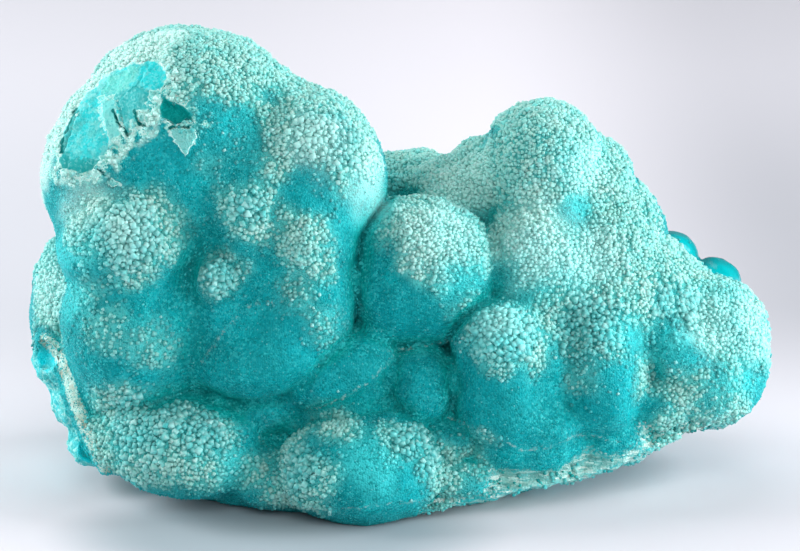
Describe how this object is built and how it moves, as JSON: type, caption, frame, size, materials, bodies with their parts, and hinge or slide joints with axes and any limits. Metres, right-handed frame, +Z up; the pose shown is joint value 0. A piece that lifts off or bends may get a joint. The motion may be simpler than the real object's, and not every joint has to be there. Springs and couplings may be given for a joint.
{
  "type": "smithsonite mineral specimen",
  "caption": "Botryoidal blue-green mineral mass of fused bulging lobes, dusted with fine crystals, with a chipped crown, a thin crust lip and a flat cut base it rests on.",
  "frame": {"origin": "on the flat cut base, under the middle of the mass", "axes": "+Z up, away from the base; X along the mass's longest side, the tall tower at -X and the low end at +X; the front with the broken crown and the middle ball faces -Y"},
  "size_m": [0.1129, 0.0608, 0.0681],
  "materials": {
    "stone": "translucent blue-green stone, fine glassy grain over a waxy skin"
  },
  "bodies": {
    "root": {"smithsonite": "stone"}
  },
  "joints": []
}
